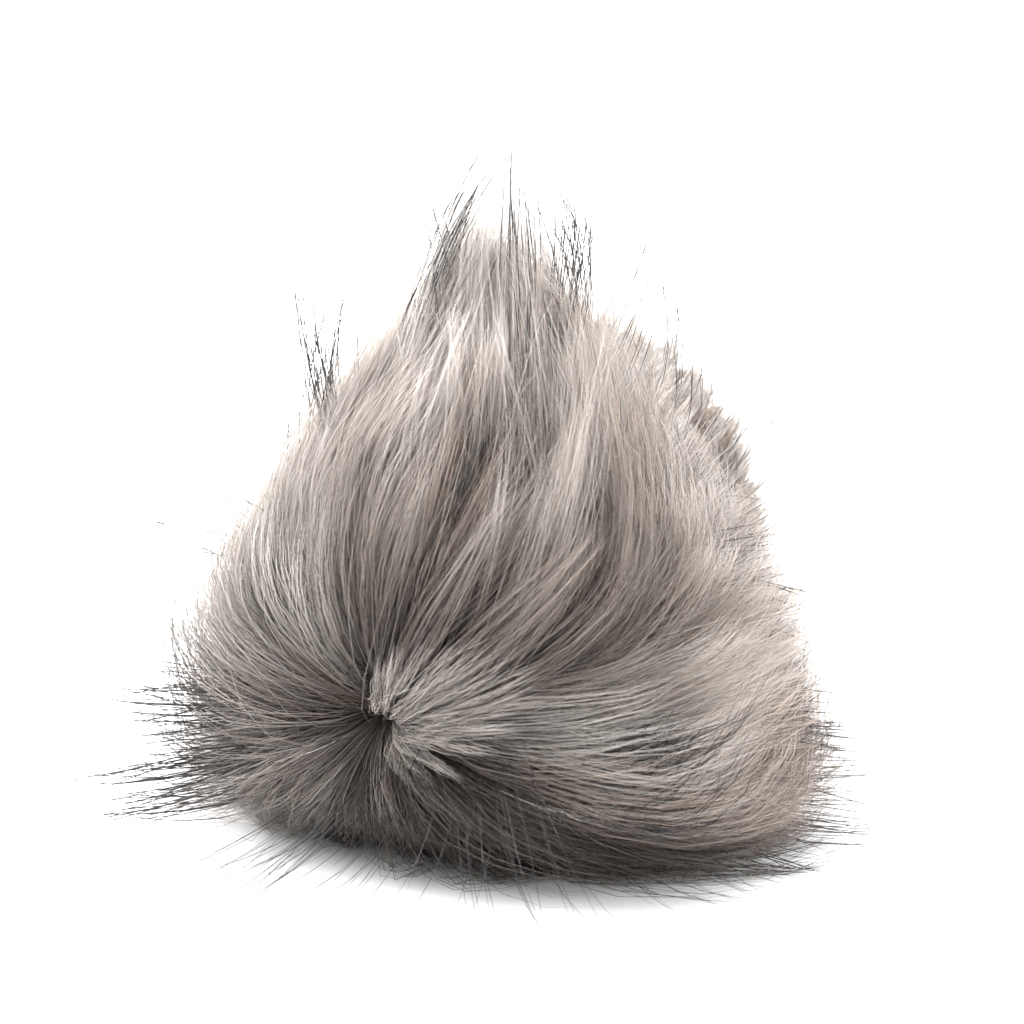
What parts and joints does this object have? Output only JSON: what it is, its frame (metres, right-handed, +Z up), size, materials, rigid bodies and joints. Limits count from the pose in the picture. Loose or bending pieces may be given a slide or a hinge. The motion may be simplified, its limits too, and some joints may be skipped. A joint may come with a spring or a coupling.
{
  "type": "furry microphone windscreen",
  "caption": "Long-pile fur windscreen for a compact microphone, over a foam core with a rubber grip collar, closed at its mouth by a drawcord with a sprung cord lock.",
  "frame": {"origin": "on the surface the windscreen rests on, straight below the drawcord in its mouth, which is midway between the crown's outermost fur and the end of the cord", "axes": "+Z up; the windscreen's own axis is horizontal along Y at a height of 28 mm, with the closed crown towards -Y and the mouth, the microphone's side, towards +Y"},
  "size_m": [0.0824, 0.1172, 0.08],
  "materials": {
    "fur_pile": "long faux-fur pile, pale grey-taupe with black-tipped guard hairs",
    "sewing_thread": "twisted polyester thread",
    "lining_knit": "fine black knit",
    "hem_webbing": "woven tape",
    "eyelet_metal": "dark nickel plate",
    "braided_cord": "braided elastic cord",
    "label_weave": "blank woven label",
    "lock_plastic": "fine spark-eroded grain",
    "plunger_plastic": "satin",
    "open_cell_foam": "open-cell polyurethane foam",
    "collar_rubber": "moulded, matt",
    "spring_steel": "drawn wire"
  },
  "bodies": {
    "cover": {"fur_gore_upper_left": "fur_pile", "fur_gore_upper_right": "fur_pile", "fur_gore_lower_left": "fur_pile", "fur_gore_lower_right": "fur_pile", "seam_thread_top": "sewing_thread", "seam_thread_right": "sewing_thread", "seam_thread_bottom": "sewing_thread", "seam_thread_left": "sewing_thread", "crown_tack": "sewing_thread", "hem_stitching": "sewing_thread", "lining_sock": "lining_knit", "hem_tape": "hem_webbing", "eyelet_left": "eyelet_metal", "eyelet_right": "eyelet_metal", "eyelet_washer_left": "eyelet_metal", "eyelet_washer_right": "eyelet_metal", "drawcord": "braided_cord", "woven_label": "label_weave", "cord_end_bell": "lock_plastic", "cord_end_plug": "lock_plastic"},
    "foam_liner": {"foam_core": "open_cell_foam", "grip_collar": "collar_rubber"},
    "cord_lock": {"cord_lock_body": "lock_plastic", "cord_lock_spring": "spring_steel"},
    "lock_plunger": {"cord_lock_plunger": "plunger_plastic"}
  },
  "joints": [
    {"name": "foam_liner_slide", "type": "slide", "parent": "cover", "child": "foam_liner", "axis": [0, 1, 0], "range_m": [0, 0.06]},
    {"name": "cord_lock_slide", "type": "slide", "parent": "cover", "child": "cord_lock", "axis": [0, 1, 0], "range_m": [-0.005, 0.0085]},
    {"name": "lock_plunger_press", "type": "slide", "parent": "cord_lock", "child": "lock_plunger", "axis": [1, 0, 0], "range_m": [0, 0.0024], "stiffness_N_per_m": 250, "springref_m": -0.004, "deforming": ["cord_lock_spring"]}
  ]
}
